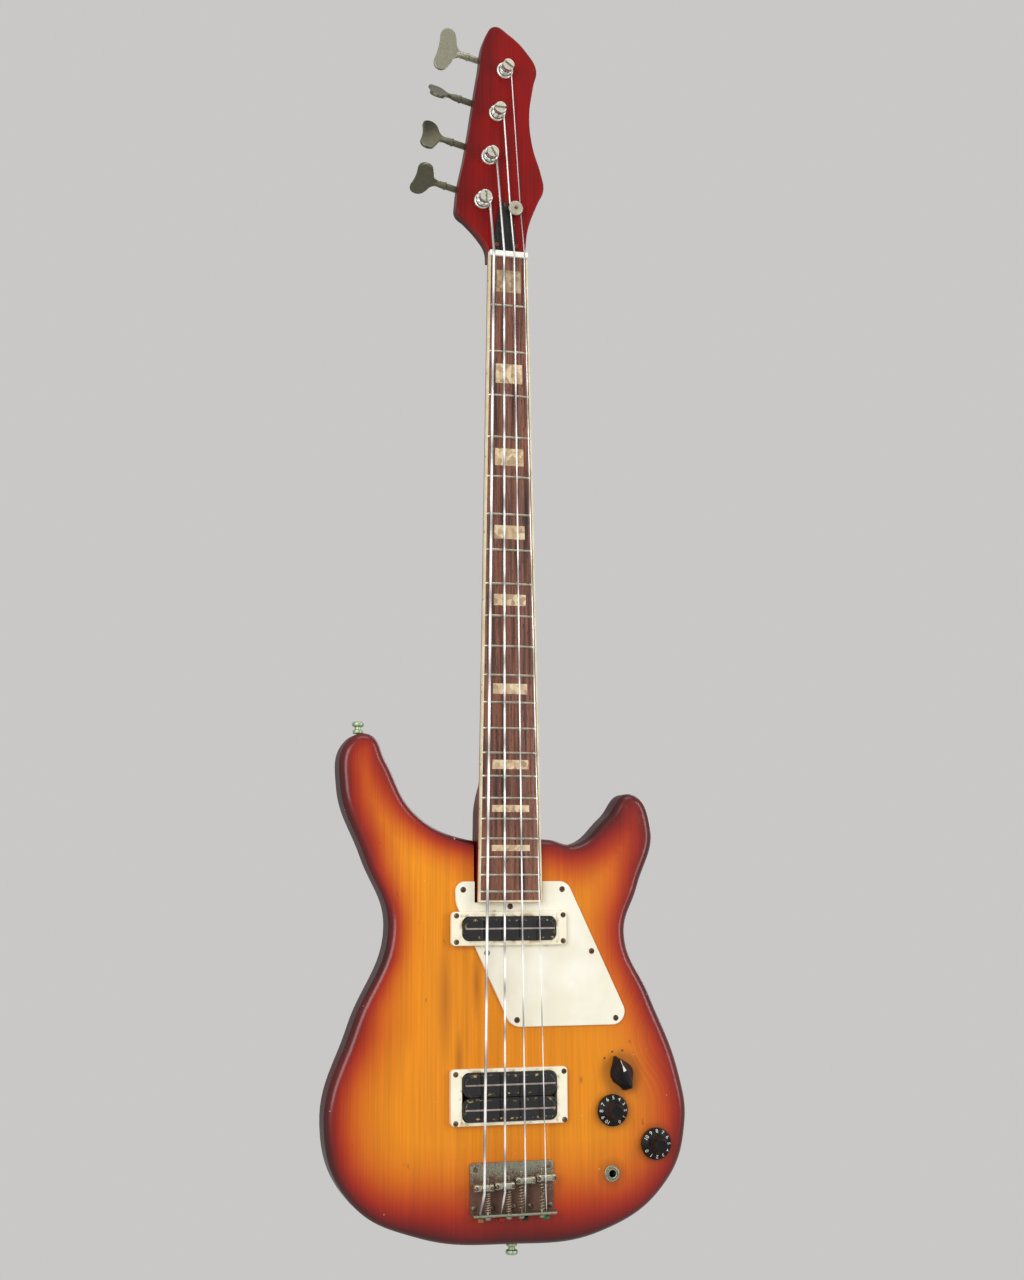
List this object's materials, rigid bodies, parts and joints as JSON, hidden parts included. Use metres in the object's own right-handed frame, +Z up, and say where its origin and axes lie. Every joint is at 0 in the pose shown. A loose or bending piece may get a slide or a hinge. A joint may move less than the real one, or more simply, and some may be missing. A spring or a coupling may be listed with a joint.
{
  "type": "electric bass guitar",
  "caption": "Double-cutaway electric bass guitar with a bolt-on neck, open-gear tuners, adjustable bridge saddles, blade pickups and turning control knobs.",
  "frame": {"origin": "where the strings break over the nut, on the centre line, level with the top of the fingerboard", "axes": "+Z up along the neck to the headstock, as the bass hangs; -Y the playing side; +X the side of the thinnest string"},
  "size_m": [0.3436, 0.0602, 1.1758],
  "materials": {
    "sunburst_lacquer": "translucent sunburst lacquer over wood, amber in the middle and dark red at the edge",
    "cherry_lacquer": "translucent cherry-red lacquer, worn at the edges",
    "rosewood": "open-pored dark brown wood with nickel-silver frets",
    "cream_plastic": "aged cream plastic",
    "white_nut": "white nut material",
    "black_plastic": "glossy black plastic, slightly grimy",
    "aged_nickel": "tarnished nickel plating with spots of rust",
    "steel": "dull steel with light rust",
    "wound_steel": "round-wound string with a tarnished sheen"
  },
  "bodies": {
    "guitar": {"body": "sunburst_lacquer", "neck": "cherry_lacquer", "fingerboard": "rosewood", "fingerboard_binding": "cream_plastic", "nut": "white_nut", "truss_rod_cover": "black_plastic", "truss_rod": "steel", "string_retainer": "aged_nickel", "pickguard": "cream_plastic", "neck_pickup_ring": "cream_plastic", "neck_pickup_coil": "black_plastic", "bridge_pickup_ring": "cream_plastic", "bridge_pickup_coil_front": "black_plastic", "bridge_pickup_coil_rear": "black_plastic", "bridge_plate": "aged_nickel", "volume_pot": "aged_nickel", "tone_pot": "aged_nickel", "selector_switch": "aged_nickel", "output_jack": "aged_nickel", "jack_nut": "aged_nickel", "control_cover": "black_plastic", "neck_plate": "aged_nickel", "strap_button_horn": "aged_nickel", "strap_button_tail": "aged_nickel", "intonation_spring_e": "steel", "string_e": "wound_steel", "tuner_plate_e": "aged_nickel", "tuner_bushing_e": "aged_nickel", "intonation_spring_a": "steel", "string_a": "wound_steel", "tuner_plate_a": "aged_nickel", "tuner_bushing_a": "aged_nickel", "intonation_spring_d": "steel", "string_d": "wound_steel", "tuner_plate_d": "aged_nickel", "tuner_bushing_d": "aged_nickel", "intonation_spring_g": "steel", "string_g": "wound_steel", "tuner_plate_g": "aged_nickel", "tuner_bushing_g": "aged_nickel"},
    "key_e": {"tuner_key_e": "aged_nickel"},
    "post_e": {"tuner_post_e": "aged_nickel"},
    "saddle_e": {"saddle_e": "aged_nickel"},
    "intonation_screw_e": {"intonation_screw_e": "aged_nickel"},
    "key_a": {"tuner_key_a": "aged_nickel"},
    "post_a": {"tuner_post_a": "aged_nickel"},
    "saddle_a": {"saddle_a": "aged_nickel"},
    "intonation_screw_a": {"intonation_screw_a": "aged_nickel"},
    "key_d": {"tuner_key_d": "aged_nickel"},
    "post_d": {"tuner_post_d": "aged_nickel"},
    "saddle_d": {"saddle_d": "aged_nickel"},
    "intonation_screw_d": {"intonation_screw_d": "aged_nickel"},
    "key_g": {"tuner_key_g": "aged_nickel"},
    "post_g": {"tuner_post_g": "aged_nickel"},
    "saddle_g": {"saddle_g": "aged_nickel"},
    "intonation_screw_g": {"intonation_screw_g": "aged_nickel"},
    "volume_knob": {"volume_knob": "black_plastic"},
    "tone_knob": {"tone_knob": "black_plastic"},
    "selector_knob": {"selector_knob": "black_plastic"}
  },
  "joints": [
    {"name": "key_turn_e", "type": "hinge", "parent": "guitar", "child": "key_e", "pos_m": [-0.02172, 0.0274, 0.06798], "axis": [0.9724, 0, -0.2334], "continuous": true},
    {"name": "post_turn_e", "type": "hinge", "parent": "guitar", "child": "post_e", "pos_m": [-0.0244, 0, 0.0568], "axis": [0, -1, 0], "continuous": true},
    {"name": "key_turn_a", "type": "hinge", "parent": "guitar", "child": "key_a", "pos_m": [-0.01452, 0.0274, 0.11338], "axis": [0.9724, 0, -0.2334], "continuous": true},
    {"name": "post_turn_a", "type": "hinge", "parent": "guitar", "child": "post_a", "pos_m": [-0.0172, 0, 0.1022], "axis": [0, -1, 0], "continuous": true},
    {"name": "key_turn_d", "type": "hinge", "parent": "guitar", "child": "key_d", "pos_m": [-0.00671, 0.0274, 0.15878], "axis": [0.9724, 0, -0.2334], "continuous": true},
    {"name": "post_turn_d", "type": "hinge", "parent": "guitar", "child": "post_d", "pos_m": [-0.0094, 0, 0.1476], "axis": [0, -1, 0], "continuous": true},
    {"name": "key_turn_g", "type": "hinge", "parent": "guitar", "child": "key_g", "pos_m": [0.00138, 0.0274, 0.20358], "axis": [0.9724, 0, -0.2334], "continuous": true},
    {"name": "post_turn_g", "type": "hinge", "parent": "guitar", "child": "post_g", "pos_m": [-0.0013, 0, 0.1924], "axis": [0, -1, 0], "continuous": true},
    {"name": "saddle_slide_e", "type": "slide", "parent": "guitar", "child": "saddle_e", "axis": [0, 0, 1], "range_m": [-0.003, 0.005], "deforming": ["intonation_spring_e"]},
    {"name": "intonation_turn_e", "type": "hinge", "parent": "guitar", "child": "intonation_screw_e", "pos_m": [-0.0231, -0.0009, -0.871], "axis": [0, 0, 1], "range_deg": [-2700, 1650]},
    {"name": "saddle_slide_a", "type": "slide", "parent": "guitar", "child": "saddle_a", "axis": [0, 0, 1], "range_m": [-0.003, 0.005], "deforming": ["intonation_spring_a"]},
    {"name": "intonation_turn_a", "type": "hinge", "parent": "guitar", "child": "intonation_screw_a", "pos_m": [-0.0037, -0.0009, -0.87], "axis": [0, 0, 1], "range_deg": [-2700, 1650]},
    {"name": "saddle_slide_d", "type": "slide", "parent": "guitar", "child": "saddle_d", "axis": [0, 0, 1], "range_m": [-0.003, 0.005], "deforming": ["intonation_spring_d"]},
    {"name": "intonation_turn_d", "type": "hinge", "parent": "guitar", "child": "intonation_screw_d", "pos_m": [0.0081, -0.0009, -0.866], "axis": [0, 0, 1], "range_deg": [-2700, 1650]},
    {"name": "saddle_slide_g", "type": "slide", "parent": "guitar", "child": "saddle_g", "axis": [0, 0, 1], "range_m": [-0.003, 0.005], "deforming": ["intonation_spring_g"]},
    {"name": "intonation_turn_g", "type": "hinge", "parent": "guitar", "child": "intonation_screw_g", "pos_m": [0.0275, -0.0009, -0.8646], "axis": [0, 0, 1], "range_deg": [-2700, 1650]},
    {"name": "volume_turn", "type": "hinge", "parent": "guitar", "child": "volume_knob", "pos_m": [0.0994, 0, -0.8084], "axis": [0, 1, 0], "range_deg": [-150, 150]},
    {"name": "tone_turn", "type": "hinge", "parent": "guitar", "child": "tone_knob", "pos_m": [0.1417, 0, -0.8402], "axis": [0, 1, 0], "range_deg": [-240, 60]},
    {"name": "selector_turn", "type": "hinge", "parent": "guitar", "child": "selector_knob", "pos_m": [0.1086, 0, -0.7751], "axis": [0, 1, 0], "range_deg": [-27, 27]}
  ],
  "couplings": [
    {"joint": "post_turn_e", "follows": "key_turn_e", "ratio": 0.05},
    {"joint": "post_turn_a", "follows": "key_turn_a", "ratio": 0.05},
    {"joint": "post_turn_d", "follows": "key_turn_d", "ratio": 0.05},
    {"joint": "post_turn_g", "follows": "key_turn_g", "ratio": 0.05},
    {"joint": "intonation_turn_e", "follows": "saddle_slide_e", "rad_per_m": -8976},
    {"joint": "intonation_turn_a", "follows": "saddle_slide_a", "rad_per_m": -8976},
    {"joint": "intonation_turn_d", "follows": "saddle_slide_d", "rad_per_m": -8976},
    {"joint": "intonation_turn_g", "follows": "saddle_slide_g", "rad_per_m": -8976}
  ]
}
